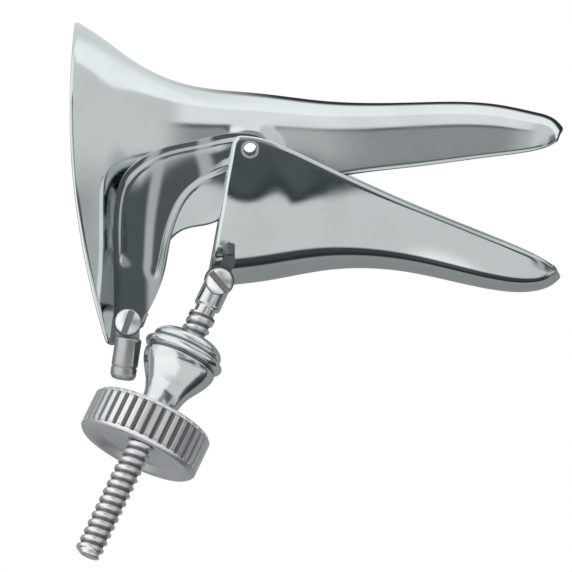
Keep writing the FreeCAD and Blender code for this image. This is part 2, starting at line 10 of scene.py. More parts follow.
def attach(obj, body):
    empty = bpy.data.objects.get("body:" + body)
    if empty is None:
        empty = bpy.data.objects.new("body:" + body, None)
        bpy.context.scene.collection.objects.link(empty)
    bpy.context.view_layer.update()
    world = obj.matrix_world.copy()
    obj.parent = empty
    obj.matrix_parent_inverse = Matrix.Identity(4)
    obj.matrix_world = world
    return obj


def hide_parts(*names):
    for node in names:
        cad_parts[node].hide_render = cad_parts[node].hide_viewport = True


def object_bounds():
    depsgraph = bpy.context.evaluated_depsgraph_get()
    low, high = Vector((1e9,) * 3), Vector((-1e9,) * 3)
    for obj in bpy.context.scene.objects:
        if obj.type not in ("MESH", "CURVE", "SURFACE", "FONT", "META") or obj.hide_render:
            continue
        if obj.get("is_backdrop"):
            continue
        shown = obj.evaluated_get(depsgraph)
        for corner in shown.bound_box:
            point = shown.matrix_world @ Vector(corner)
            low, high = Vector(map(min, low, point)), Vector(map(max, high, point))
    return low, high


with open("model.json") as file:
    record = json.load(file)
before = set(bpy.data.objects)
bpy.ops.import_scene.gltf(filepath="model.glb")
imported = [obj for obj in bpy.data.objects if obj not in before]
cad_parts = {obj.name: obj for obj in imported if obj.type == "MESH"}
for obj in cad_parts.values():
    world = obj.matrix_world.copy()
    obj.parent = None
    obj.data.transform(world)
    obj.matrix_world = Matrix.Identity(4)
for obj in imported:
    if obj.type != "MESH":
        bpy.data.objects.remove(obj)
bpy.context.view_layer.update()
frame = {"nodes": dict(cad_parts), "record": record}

bl_info = {
    "name": "Bivalve speculum",
    "version": (1, 0, 0),
    "blender": (4, 5, 0),
    "location": "View3D > Sidebar > Speculum",
    "description": "Polished finish and fine forms for a two-bladed speculum",
    "category": "Add Mesh",
}

MM = 0.001
MOUNTS = {mount["name"]: mount for mount in frame["record"]["mounts"]}
JOINTS = {joint["name"]: joint for joint in frame["record"]["behaviour"]["joints"]}


# Places that the frame gives

def unit(vector):
    """The vector divided by its length."""
    vector = np.asarray(vector, float)
    return vector / np.linalg.norm(vector)


# The spindle's direction from its eye, its eye's centre, and the swivel's pin, in millimetres.
SPINDLE_AXIS = unit(MOUNTS["spindle_end"]["axis"])
FORK_PIN = np.array(JOINTS["nut_spin"]["pos_m"]) / MM
SWIVEL_PIN = np.array(JOINTS["swivel_turn"]["pos_m"]) / MM
SWIVEL_AXIS = unit(JOINTS["swivel_turn"]["axis"])
UP = np.array([0, 0, 1.0])
TURN = 2 * np.pi
WHITE = (1.0, 1.0, 1.0, 1.0)

# Stations along each blade in millimetres: crown x, crown y, rim x, rim y, half width.
UPPER_STATIONS = np.array([
    (70.9, 4.2, 69.8, 2.0, 5.2), (68.8, 6.4, 67.2, 0.5, 7.6),
    (64.4, 8.0, 61.8, -0.8, 9.2), (56.0, 9.7, 54.5, -1.8, 10.0),
    (37.0, 10.2, 36.0, -4.2, 10.6), (17.0, 10.5, 16.0, -7.2, 12.6),
    (1.5, 12.3, -0.5, -12.9, 15.0), (-14.0, 14.2, -10.5, -17.4, 16.6),
    (-27.0, 20.1, -19.3, -23.6, 21.0), (-34.2, 25.4, -24.6, -38.0, 26.6),
    (-39.2, 28.5, -31.8, -46.6, 30.0)])
LOWER_STATIONS = np.array([
    (70.3, -29.2, 69.6, -27.6, 5.6), (68.2, -31.0, 66.6, -25.6, 8.2),
    (64.2, -32.4, 62.0, -23.3, 10.2), (55.5, -32.2, 52.5, -19.4, 11.8),
    (35.5, -28.1, 34.0, -11.8, 13.0), (18.0, -27.6, 17.0, -3.9, 15.6),
    (4.0, -30.0, 4.2, 1.9, 17.9), (-9.8, -31.5, -3.1, 3.0, 18.2)])
# Rows of those tables: the upper blade's hinge, and where the rounding of both tips ends.
UPPER_HINGE = 6
NOSE = 2
# A blade's long edges start to lean this far from the hinge, and lean fully this much further on.
LEAN_START, LEAN_RUN = 5.0, 12.0
# The ears' flats start at this angle from the crown, and are whole this much further down.
EAR_START, EAR_RUN = np.radians(20), np.radians(25)

# The lever's two long edges from the hinge to the post, the levels of its two flats, the x where
# the bend between them starts and ends, and its thickness at the brim.
LEVER_OUTER = [(0.0, 3.4), (-3.0, 3.6), (-12.0, 2.0), (-20.0, 0.2), (-25.2, -2.6),
               (-28.6, -6.2), (-30.0, -10.5), (-30.6, -20.0), (-30.6, -30.0), (-30.6, -38.4)]
LEVER_INNER = [(0.0, -3.9), (-3.0, -4.6), (-6.0, -5.9), (-10.9, -8.2), (-14.3, -11.4),
               (-16.6, -16.0), (-18.0, -21.0), (-18.9, -26.0), (-20.8, -32.0), (-24.2, -38.4)]
LEVER_LEVELS = (15.0, 26.0)
LEVER_BENDS = (-7.4, -24.4)
LEVER_BRIM = 1.8
POST_SCREW = (-27.4, -38.4, LEVER_LEVELS[1] + LEVER_BRIM)
# Half the thickness of the spindle's eye, and the radius of the post screw's hole.
EYE_HALF = 1.6
SCREW_HOLE = 1.32


# Numbers

def smooth_step(value):
    """3v^2 - 2v^3 with v held between 0 and 1: rises from 0 to 1 with level ends."""
    value = np.clip(value, 0.0, 1.0)
    return value * value * (3 - 2 * value)


def spline(knots, values, places):
    """Natural cubic spline: on each span a cubic whose slope and curvature match its neighbours."""
    knots, values = np.asarray(knots, float), np.asarray(values, float)
    gaps = np.diff(knots)
    count = len(knots)
    matrix, right = np.eye(count), np.zeros((count,) + values.shape[1:])
    for row in range(1, count - 1):
        matrix[row, row - 1:row + 2] = gaps[row - 1], 2 * (gaps[row - 1] + gaps[row]), gaps[row]
        right[row] = 6 * ((values[row + 1] - values[row]) / gaps[row]
                          - (values[row] - values[row - 1]) / gaps[row - 1])
    bend = np.linalg.solve(matrix, right)
    span = np.clip(np.searchsorted(knots, places, side="right") - 1, 0, count - 2)
    gap = gaps[span][:, None]
    after = (places - knots[span])[:, None]
    before = gap - after
    return ((bend[span] * before ** 3 + bend[span + 1] * after ** 3) / (6 * gap)
            + (values[span] / gap - bend[span] * gap / 6) * before
            + (values[span + 1] / gap - bend[span + 1] * gap / 6) * after)


def square_to(axis, run):
    """Three unit columns: run, the one that is square to both, and axis."""
    return np.column_stack([run, np.cross(axis, run), axis])


def frame_of(axis):
    """Three unit columns, the last along axis and the first level; along x if axis is upright."""
    axis = unit(axis)
    side = np.cross(UP, axis)
    side = unit(side) if np.linalg.norm(side) > 1e-6 else np.array([1.0, 0, 0])
    return square_to(axis, side)


# Meshes

def wrap_faces(rows, columns, close_rows, close_columns):
    """Quads of a grid of points, each as four point numbers in order round the quad."""
    down = np.arange(rows if close_rows else rows - 1)
    across = np.arange(columns if close_columns else columns - 1)
    first = down[:, None] * columns + across[None, :]
    second = down[:, None] * columns + (across[None, :] + 1) % columns
    third = ((down[:, None] + 1) % rows) * columns + (across[None, :] + 1) % columns
    fourth = ((down[:, None] + 1) % rows) * columns + across[None, :]
    return np.stack([first, second, third, fourth], axis=-1).reshape(-1, 4)


def distinct(faces):
    """Which faces hold no point twice."""
    return np.all(np.diff(np.sort(faces, axis=1), axis=1) != 0, axis=1)


def smooth(mesh, degrees):
    """Shade a mesh smooth, with edges over this angle sharp."""
    mesh.polygons.foreach_set("use_smooth", np.ones(len(mesh.polygons), bool))
    mesh.set_sharp_from_angle(angle=np.radians(degrees))


class Shape:
    """Points in millimetres and quads gathered from several grids."""

    def __init__(self):
        self.points, self.quads, self.count = [], [], 0

    def grid(self, points, close_rows=False, close_columns=False, flip=False):
        """Add a grid of points (rows, columns, 3)."""
        rows, columns = points.shape[:2]
        quads = wrap_faces(rows, columns, close_rows, close_columns) + self.count
        self.quads.append(quads[:, ::-1] if flip else quads)
        self.points.append(points.reshape(-1, 3))
        self.count += rows * columns
        return self

    def object(self, name, sharp_degrees=40.0):
        """Make the Blender object: doubles merged, faces outwards, smooth with sharp corners."""
        points, quads = np.concatenate(self.points) * MM, np.concatenate(self.quads)
        keys = np.round(points / 1e-7).astype(np.int64)
        _, first, places = np.unique(keys, axis=0, return_index=True, return_inverse=True)
        points, quads = points[first], places.reshape(-1)[quads]
        whole = distinct(quads)
        folded = quads[~whole]
        halves = np.concatenate([folded[:, [0, 1, 2]], folded[:, [0, 2, 3]]])
        halves = halves[distinct(halves)]
        mesh = bpy.data.meshes.new(name)
        mesh.from_pydata(points.tolist(), [], quads[whole].tolist() + halves.tolist())
        mesh.validate()
        work = bmesh.new()
        work.from_mesh(mesh)
        bmesh.ops.recalc_face_normals(work, faces=work.faces)
        work.to_mesh(mesh)
        work.free()
        smooth(mesh, sharp_degrees)
        mesh.update()
        item = bpy.data.objects.new(name, mesh)
        bpy.context.scene.collection.objects.link(item)
        return item


def carve(item, cutters, operation="DIFFERENCE"):
    """Cut, or join, other meshes into a piece and apply the result to its own mesh."""
    for cutter in cutters:
        modifier = item.modifiers.new("carve", "BOOLEAN")
        modifier.operation, modifier.solver, modifier.object = operation, "EXACT", cutter
    bpy.context.view_layer.update()
    depsgraph = bpy.context.evaluated_depsgraph_get()
    result = bpy.data.meshes.new_from_object(item.evaluated_get(depsgraph))
    item.modifiers.clear()
    item.data = result
    for cutter in cutters:
        bpy.data.objects.remove(cutter)
    smooth(result, 35.0)


def paint_shade(item, base, axis, rule):
    """Store how dark painted shade makes each point, from its height, distance and angle about an
    axis.
    """
    mesh = item.data
    points = np.empty(len(mesh.vertices) * 3, np.float32)
    mesh.vertices.foreach_get("co", points)
    local = (points.reshape(-1, 3) / MM - np.asarray(base)) @ frame_of(axis)
    values = np.clip(rule(local[:, 2], np.hypot(local[:, 0], local[:, 1]),
                          np.arctan2(local[:, 1], local[:, 0])), 0, 1)
    layer = mesh.attributes.new("grime", "FLOAT", "POINT")
    layer.data.foreach_set("value", values.astype(np.float32))


def rod(radius, start, end, axis, steps=64):
    """A plain cylinder between two points, as a cutter or a pin."""
    start, end = np.asarray(start, float), np.asarray(end, float)
    length = float(np.dot(end - start, unit(axis)))
    corners = [(0.0, 0.0), (radius, 0.0), (radius, length), (0.0, length)]
    return turned(corners, start, axis, 0.0, steps, "rod")


def block_shape(low, high, base, columns, name="block"):
    """A box between two corners of a frame whose axes are columns."""
    outline = ((low[0], low[1]), (high[0], low[1]), (high[0], high[1]), (low[0], high[1]))
    corners = np.array([[[x, y, z] for x, y in outline] for z in (low[2], high[2])])
    points = np.asarray(base) + corners @ np.asarray(columns).T
    lids = [np.broadcast_to(ring.mean(axis=0), ring.shape)[None] for ring in points]
    return Shape().grid(np.concatenate([lids[0], points, lids[1]]), close_columns=True).object(name)


def turned(corners, base, axis, rounding, steps=96, name="turned", sharp=40.0):
    """A closed profile of (radius, height) corners turned about an axis, its corners rounded."""
    profile = rounded_profile(corners, rounding) if rounding else np.array(corners, float)
    surface = turned_grid(profile[:, 0], profile[:, 1], base, axis, steps)
    hollow = corners[0][0] > 0
    return Shape().grid(surface, close_rows=hollow, close_columns=True).object(name, sharp)


def dome(radius, low, high, steps=9):
    """Quarter ellipse from (radius, low) to (0, high)."""
    angle = np.linspace(0, np.pi / 2, steps)
    return list(zip(radius * np.cos(angle), low + (high - low) * np.sin(angle)))


def turned_grid(radii, heights, base, axis, steps=96):
    """Points base + height*axis + radius*(cos a*side + sin a*up).

    radii holds one radius for each height, or one row of them for each height.
    """
    columns = frame_of(axis)
    angle = np.arange(steps) * TURN / steps
    ring = np.cos(angle)[:, None] * columns[:, 0] + np.sin(angle)[:, None] * columns[:, 1]
    heights = np.asarray(heights, float)
    radii = np.asarray(radii, float).reshape(len(heights), -1)
    return (np.asarray(base) + heights[:, None, None] * columns[:, 2]
            + radii[..., None] * ring[None])


def rounded_profile(corners, radius, steps=5):
    """A polyline of (radius, height) whose inner corners are rounded by quadratic curves."""
    corners = [np.array(corner[:2], float) for corner in corners]
    points = [corners[0]]
    for before, corner, after in zip(corners, corners[1:], corners[2:]):
        room = min(np.linalg.norm(corner - before), np.linalg.norm(after - corner))
        cut = min(radius, 0.45 * room)
        start, end = corner + cut * unit(before - corner), corner + cut * unit(after - corner)
        share = np.linspace(0, 1, steps)[:, None]
        points.extend((1 - share) ** 2 * start + 2 * share * (1 - share) * corner
                      + share ** 2 * end)
    points.append(corners[-1])
    return np.array(points)


# Formed sheet

def sheet_grid(stations, knots, places, angles, bow, tuck, tip_share, ear, sizes):
    """The outer face: at each place an arch from the crown to both rims, flat round the hinge.

    rise is the cosine of the angle from the crown, and 4*bow*rise*(1 - rise) bows the arch most
    half way down. z is the half width, fuller by the crown, less the tuck and with the lean.
    """
    values = spline(knots, stations, places)
    crown_x, crown_y, rim_x, rim_y, width = (values[:, [column]] for column in range(5))
    rise, spread = np.cos(angles), np.sin(angles)
    x = (rim_x + (crown_x - rim_x) * rise ** (1 + tip_share[:, None])
         - 4 * bow[:, None] * rise * (1 - rise))
    y = rim_y + (crown_y - rim_y) * rise
    fullness = (sizes.crown_fullness
                + sizes.wall_fullness * (1 - smooth_step(np.abs(x) / (sizes.wall_fade / MM))))
    lean = sizes.wall_lean / MM * smooth_step((np.abs(x) - LEAN_START) / LEAN_RUN)
    z = (width * np.abs(spread) * (1 + fullness * rise ** 2)
         - tuck[:, None] * (1 - rise) ** 3 + lean * (1 - rise) ** 2)
    ear_z, blend, squat = ear
    flat_in = sizes.ear_flat_radius / MM
    flat = 1 - smooth_step((np.hypot(x, squat * y) - flat_in) / (blend - flat_in))
    z = z + flat * smooth_step((np.abs(angles) - EAR_START) / EAR_RUN) * (ear_z - z)
    return np.stack([x, y, z * np.sign(spread)], axis=-1)


def inset_net(stations, knots, reach, corner, rows=150, columns=97):
    """Places and angles of a net that stays reach inside the edge, its rear corners rounded."""
    inner = corner - reach
    turn = np.linspace(0, np.pi / 2, 10)[1:]
    straight = np.linspace(knots[0] + reach, knots[-1] - reach - inner, rows)
    places = np.concatenate([straight, straight[-1] + inner * np.sin(turn)])
    trim = np.concatenate([np.zeros(rows), inner * (1 - np.cos(turn))])
    values = spline(knots, stations, places)
    chord = np.hypot(values[:, 0] - values[:, 2], values[:, 1] - values[:, 3])
    limit = np.pi / 2 - (reach + trim) / chord
    return places, limit[:, None] * np.linspace(-1, 1, columns)[None, :]


def sheet_shape(outer, thickness, reach, steps=10):
    """A sheet from its outer face: inner face at -thickness*normal, and a half-elliptic rim."""
    along, across = np.gradient(outer, axis=0), np.gradient(outer, axis=1)
    normal = np.cross(along, across)
    normal /= np.linalg.norm(normal, axis=2, keepdims=True)
    middle = outer.shape[1] // 2
    chord = (outer[:, :1] + outer[:, -1:]) / 2 - outer[:, middle:middle + 1]
    if np.mean(np.sum(normal[:, middle:middle + 1] * chord, axis=2)) > 0:
        normal = -normal

    def border(grid):
        return np.concatenate([grid[0, :-1], grid[:-1, -1], grid[-1, :0:-1], grid[:0:-1, 0]])

    ring, ring_normal = border(outer - normal * thickness / 2), border(normal)
    tangent = np.roll(ring, -1, axis=0) - np.roll(ring, 1, axis=0)
    beyond = np.cross(tangent, ring_normal)
    beyond /= np.linalg.norm(beyond, axis=1, keepdims=True)
    inside = outer[outer.shape[0] // 2, middle] - ring
    beyond = beyond * -np.sign(np.mean(np.sum(beyond * inside, axis=1)))
    turn = np.linspace(0, np.pi, steps)[:, None, None]
    edge = ring + np.cos(turn) * ring_normal * thickness / 2 + np.sin(turn) * beyond * reach
    shape = Shape()
    shape.grid(outer)
    shape.grid(outer - normal * thickness, flip=True)
    shape.grid(edge, close_columns=True)
    return shape


def chord_knots(stations):
    """Distance along the crown from the tip to each station."""
    steps = np.linalg.norm(np.diff(stations[:, :2], axis=0), axis=1)
    return np.concatenate([[0.0], np.cumsum(steps)])


# Shader maths

class Tree:
    """A node tree that is written as Python expressions."""

    def __init__(self, owner):
        owner.use_nodes = True
        self.tree = owner.node_tree
        self.tree.nodes.clear()

    def node(self, kind, settings=None, **inputs):
        """Add a node: settings first, then the value or link of each input, named or numbered."""
        made = self.tree.nodes.new(kind)
        for name, value in (settings or {}).items():
            if name == "stops":
                ramp = made.color_ramp
                while len(ramp.elements) > 1:
                    ramp.elements.remove(ramp.elements[-1])
                for number, (place, colour) in enumerate(value):
                    stop = ramp.elements[0] if number == 0 else ramp.elements.new(place)
                    stop.position, stop.color = place, colour
            else:
                setattr(made, name, value)
        for name, value in inputs.items():
            self.feed(made.inputs[int(name[1:]) if name[0] == "i" and name[1:].isdigit()
                                  else name.replace("_", " ")], value)
        return made

    def feed(self, socket, value):
        """Link a socket to another, or set its value."""
        if isinstance(value, Value):
            self.tree.links.new(value.socket, socket)
        else:
            socket.default_value = value

    def out(self, kind, output=0, settings=None, **inputs):
        """Add a node and wrap one of its outputs."""
        return Value(self, self.node(kind, settings, **inputs).outputs[output])

    def outs(self, kind, names, **inputs):
        """Add a node and wrap the outputs of these names."""
        made = self.node(kind, **inputs)
        return [Value(self, made.outputs[name]) for name in names]

    def blend(self, share, first, second):
        """The first colour where share is 0, the second where it is 1."""
        return self.out("ShaderNodeMix", 2, {"data_type": "RGBA"}, i0=share, i6=first, i7=second)


class Value:
    """A socket that adds Math nodes when it is used in an expression."""

    def __init__(self, tree, socket):
        self.tree, self.socket = tree, socket

    def maths(self, operation, first, second):
        """A Math node on two values."""
        return self.tree.out("ShaderNodeMath", 0, {"operation": operation}, i0=first, i1=second)

    def __add__(self, other):
        return self.maths("ADD", self, other)

    __radd__ = __add__

    def __mul__(self, other):
        return self.maths("MULTIPLY", self, other)

    __rmul__ = __mul__

    def __sub__(self, other):
        return self.maths("SUBTRACT", self, other)

    def __rsub__(self, other):
        return self.maths("SUBTRACT", other, self)

    def step(self, low, high):
        """0 below low, 1 above high and smooth between."""
        return self.tree.out("ShaderNodeMapRange", settings={"interpolation_type": "SMOOTHSTEP"},
                             Value=self, From_Min=low, From_Max=high, To_Min=0.0, To_Max=1.0)

    def band(self, rise, fall):
        """0 below rise, 1 between rise and fall, 0 above fall; each is where a smooth step runs."""
        return self.step(*rise) * (1 - self.step(*fall))


def darker(colour, share):
    """The colour times share."""
    return tuple(channel * share for channel in colour)


def metal(name, colour, roughness, smear, grain, grain_scale, bump, depth=0.0):
    """Polished metal: a tinted mirror with haze, wiping marks, a fine grain and painted shade in
    the grooves.

    smear is how much rougher the hazy and wiped places are, grain how far the fine noise changes
    the roughness, and depth how dark the stored painted shade makes the grooves.
    """
    material = bpy.data.materials.new(name)
    tree = Tree(material)
    place = tree.out("ShaderNodeTexCoord", output="Object")
    haze = tree.out("ShaderNodeTexNoise", Vector=place, Scale=90.0, Detail=3.0, Roughness=0.6)
    stretched = tree.out("ShaderNodeMapping", Vector=place, Scale=(60.0, 900.0, 900.0))
    wiping = tree.out("ShaderNodeTexNoise", Vector=stretched, Scale=1.0, Detail=2.0, Roughness=0.5)
    fine = tree.out("ShaderNodeTexNoise", Vector=place, Scale=grain_scale, Detail=2.0,
                    Roughness=0.5)
    dull = (haze.step(0.45, 0.75) * smear + wiping.step(0.5, 0.8) * smear * 0.5
            + (fine - 0.5) * grain + roughness)
    tone = tree.blend(haze.step(0.35, 0.8), (*colour, 1.0), (*darker(colour, 0.93), 1.0))
    if depth:
        # Painted shade: the stored mask darkens the tint towards black in grooves, slots and the
        # rivets' lips, and makes them rougher.
        grime = tree.out("ShaderNodeAttribute", "Fac", {"attribute_name": "grime"})
        tone = tree.blend(grime * depth, tone, (*darker(colour, 0.05), 1.0))
        dull = dull + grime * 0.2
    relief = tree.out("ShaderNodeBump", Height=fine, Strength=bump, Distance=0.00002)
    surface = tree.out("ShaderNodeBsdfPrincipled", Base_Color=tone, Metallic=1.0, Roughness=dull,
                       Normal=relief)
    tree.node("ShaderNodeOutputMaterial", Surface=surface)
    return material


def dress(item, material, body, slot, *nodes):
    """Give a finished piece its material and body, and hide the CAD nodes that it stands for. slot
    is not used.
    """
    item.data.materials.append(material)
    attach(item, body)
    if nodes:
        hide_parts(*nodes)


# Sizes and colours

def millimetres(name, description, size):
    """A length that a user can change; size is its default in millimetres."""
    return FloatProperty(name=name, description=description, default=size * MM, unit="LENGTH")


def tint(name, description, colour):
    """A colour that a user can change."""
    return FloatVectorProperty(name=name, description=description, default=colour, size=3,
                               subtype="COLOR")


class SpeculumSheetSizes(bpy.types.PropertyGroup):
    """Sizes of the two formed blades and the lever."""
    thickness: millimetres("Sheet thickness", "Thickness of both blades", 1.1)
    crown_fullness: FloatProperty(name="Crown fullness", default=0.35,
                                  description="How boxy the arch of a blade is")
    wall_fullness: FloatProperty(name="Wall fullness", default=0.22,
                                 description="How much boxier it is by the hinge")
    wall_fade: millimetres("Wall fade", "Distance over which that fades", 30.0)
    wall_lean: millimetres("Wall lean", "How far the long edges stand outwards", 0.6)
    lip_bow: millimetres("Lip bow", "How far the collar's lip bows backwards", 3.9)
    horn_tuck: millimetres("Horn tuck", "How far the collar's horns turn in", 9.0)
    upper_ear: millimetres("Upper ear", "Half width over the upper blade's ears", 15.0)
    lower_ear: millimetres("Lower ear", "Half width over the lower blade's ears", 18.2)
    ear_flat_radius: millimetres("Flat radius", "Flat disc round the hinge", 4.3)
    upper_blend: millimetres("Upper blend", "Where the upper flat has faded out", 7.5)
    lower_blend: millimetres("Lower blend", "Where the lower flat has faded out", 12.5)
    upper_squat: FloatProperty(name="Upper squatness", default=1.25,
                               description="Length of the upper flat over its height")
    lower_squat: FloatProperty(name="Lower squatness", default=0.7,
                               description="Length of the lower flat over its height")
    lever_thickness: millimetres("Lever thickness", "Thickness at the lever's brim", LEVER_BRIM)
    lever_web: millimetres("Lever web", "Thickness of the lever inside its brim", 1.2)
    rim_reach: millimetres("Rim reach", "How far the rounding of an edge reaches in", 0.9)
    horn_corner: millimetres("Horn corner", "Rounding of the collar's horns", 3.0)
    ear_corner: millimetres("Ear corner", "Rounding of the lower blade's ears", 2.4)
    rivet_hole: millimetres("Rivet hole", "Radius of the holes for the hinge rivets", 1.78)


class SpeculumFittingSizes(bpy.types.PropertyGroup):
    """Sizes of the turned and threaded pieces."""
    rod_radius: millimetres("Rod radius", "Outer radius of the spindle's thread", 3.05)
    pitch: millimetres("Pitch", "Thread pitch", 2.0)
    thread_depth: millimetres("Thread depth", "Depth of the thread's groove", 0.55)
    flutes: IntProperty(name="Flutes", description="Flutes round the hand nut", default=38)
    flute_depth: millimetres("Flute depth", "Depth of each flute", 0.8)


class SpeculumColours(bpy.types.PropertyGroup):
    """Tints of the metal and the table."""
    sheet: tint("Sheet", "Tint of the polished blades", (0.78, 0.82, 0.83))
    fittings: tint("Fittings", "Tint of the turned pieces", (0.86, 0.89, 0.90))
    nut: tint("Hand nut", "Tint of the nut, thread and screw heads", (0.97, 0.99, 1.0))
    floor: tint("Floor", "The table under the object", (0.86, 0.87, 0.87))


def sheet_sizes():
    """The sizes that the user set for the sheets."""
    return bpy.context.scene.speculum_sheet


def fitting_sizes():
    """The sizes that the user set for the fittings."""
    return bpy.context.scene.speculum_fittings


def finish_of(name):
    """The material of that name, made on first use."""
    if name in bpy.data.materials:
        return bpy.data.materials[name]
    colours = bpy.context.scene.speculum_colours
    # Tint, roughness, smear, grain, the grain's scale, bump and, with painted groove shade, its
    # depth.
    recipes = {
        "mirror sheet": (colours.sheet, 0.07, 0.05, 0.01, 9000.0, 0.10),
        "satin sheet": (colours.sheet, 0.11, 0.05, 0.02, 9000.0, 0.12),
        "turned fittings": (colours.fittings, 0.14, 0.06, 0.02, 7000.0, 0.15, 0.9),
        "screw heads": (colours.nut, 0.30, 0.06, 0.02, 7000.0, 0.15, 0.9),
        # The post and pin: rougher worn grain, and the fittings' tint darkened to 0.66, painted
        # shade.
        "worn post in painted shade": (darker(colours.fittings, 0.66), 0.32, 0.12, 0.05, 6000.0, 0.35),
        # The lug: the fittings' tint darkened to a quarter, painted shade.
        "lug in painted shade": (darker(colours.fittings, 0.25), 0.30, 0.06, 0.02, 7000.0, 0.15),
        "cut thread": (colours.nut, 0.28, 0.08, 0.05, 6000.0, 0.35, 0.8),
        "fluted nut": (colours.nut, 0.36, 0.10, 0.06, 5000.0, 0.5, 0.85),
    }
    colour, *rest = recipes[name]
    return metal(name, tuple(colour), *rest)


# Pieces

def smooth_edge(points, shares):
    """Points at these shares of the length of a spline through a polyline."""
    points = np.array(points, float)
    knots = np.concatenate([[0], np.cumsum(np.linalg.norm(np.diff(points, axis=0), axis=1))])
    return spline(knots, points, shares * knots[-1])


def round_ramp(value, width):
    """0 below 0, 1 above 1 and straight between, each corner replaced by a parabola."""
    def corner(v):
        return np.where(v <= -width, 0, np.where(v >= width, v, (v + width) ** 2 / (4 * width)))
    return corner(value) - corner(value - 1)


def blade(name, stations, flare, ear, corner, body, finish):
    """One formed blade with its hinge hole; ear is its flat spot's height, reach and squatness."""
    sizes = sheet_sizes()
    knots = chord_knots(stations)
    reach = sizes.rim_reach / MM
    places, angles = inset_net(stations, knots, reach, corner / MM)
    tip = 1 - smooth_step(places / knots[NOSE])
    amount = flare(places, knots)
    outer = sheet_grid(stations, knots, places, angles, sizes.lip_bow / MM * amount,
                       sizes.horn_tuck / MM * amount, tip, ear, sizes)
    item = sheet_shape(outer, sizes.thickness / MM, reach).object(name + "_sheet")
    beyond = 25 * UP
    carve(item, [rod(sizes.rivet_hole / MM, -beyond, beyond, UP)])
    dress(item, finish_of(finish), body, "polished_sheet", name)


class SPECULUM_OT_upper_blade(bpy.types.Operator):
    """Add the upper blade with its flared collar"""
    bl_idname = "speculum.upper_blade"
    bl_label = "Upper blade"

    def execute(self, context):
        def flare(places, knots):
            return smooth_step((places - knots[UPPER_HINGE]) / (knots[-1] - knots[UPPER_HINGE]))

        sizes = sheet_sizes()
        ear = (sizes.upper_ear / MM, sizes.upper_blend / MM, sizes.upper_squat)
        blade("upper_blade", UPPER_STATIONS, flare, ear, sizes.horn_corner, "upper", "satin sheet")
        return {"FINISHED"}


class SPECULUM_OT_lower_blade(bpy.types.Operator):
    """Add the lower blade with its two ears"""
    bl_idname = "speculum.lower_blade"
    bl_label = "Lower blade"

    def execute(self, context):
        sizes = sheet_sizes()
        ear = (sizes.lower_ear / MM, sizes.lower_blend / MM, sizes.lower_squat)
        blade("lower_blade", LOWER_STATIONS, lambda places, knots: np.zeros_like(places), ear,
              sizes.ear_corner, "lower", "mirror sheet")
        return {"FINISHED"}


class SPECULUM_OT_lever(bpy.types.Operator):
    """Add the cranked lever with its rounded brim"""
    bl_idname = "speculum.lever"
    bl_label = "Lever"

    def execute(self, context):
        """Top face over the outline: z = low + rise*ramp((knee - x)/run) + brim - dish + crown.

        The outline runs from the outer edge to the inner one, and both ends bulge by half the
        width times sqrt(1 - (2*across - 1)^2). The dish is 1 well inside the brim and 0 on it.
        """
        sizes = sheet_sizes()
        brim, web = sizes.lever_thickness / MM, sizes.lever_web / MM
        end_share, bend_round = 0.12, 0.30
        along, across = np.linspace(0, 1, 90), np.linspace(0, 1, 33)
        outer_edge, inner_edge = smooth_edge(LEVER_OUTER, along), smooth_edge(LEVER_INNER, along)
        flat = (outer_edge[:, None] * (1 - across[None, :, None])
                + inner_edge[:, None] * across[None, :, None])
        width = np.linalg.norm(outer_edge - inner_edge, axis=1)
        bulge = np.sqrt(np.clip(1 - (2 * across - 1) ** 2, 0, 1))
        for end, direction in ((0, np.array([1.0, 0.0])), (1, np.array([0.0, -1.0]))):
            reach_out = width / 2 * np.clip(1 - np.abs(along - end) / end_share, 0, 1) ** 2
            flat = flat + (reach_out[:, None] * bulge[None])[..., None] * direction
        low, high = LEVER_LEVELS
        knee, foot = LEVER_BENDS
        crank = round_ramp((knee - flat[..., 0]) / (knee - foot), bend_round)
        outer_inset = np.linalg.norm(flat - outer_edge[:, None], axis=2)
        inner_inset = np.linalg.norm(flat - inner_edge[:, None], axis=2)
        outer_brim, inner_brim, slope, undercut, crown_height = 1.0, 0.7, 1.3, 0.3, 0.85
        dish = (smooth_step((outer_inset - outer_brim) / slope)
                * smooth_step((inner_inset - inner_brim) / slope)
                * (smooth_step((along - 0.02) / 0.12)
                   * smooth_step((0.80 - along) / 0.06))[:, None])
        crown = crown_height * (1 - (2 * across - 1) ** 2)[None, :] * dish
        floor = low + (high - low) * crank
        z = floor + brim - (brim - web + undercut) * dish + crown
        top = np.concatenate([flat, z[..., None]], axis=2)
        item = sheet_shape(top, web, 0.05).object("lever_sheet")
        below, above = 5, 35
        carve(item, [rod(sizes.rivet_hole / MM, (0, 0, below), (0, 0, above), UP),
                     rod(SCREW_HOLE, (*POST_SCREW[:2], below), (*POST_SCREW[:2], above), UP)])
        dress(item, finish_of("mirror sheet"), "upper", "polished_sheet", "lever")
        return {"FINISHED"}


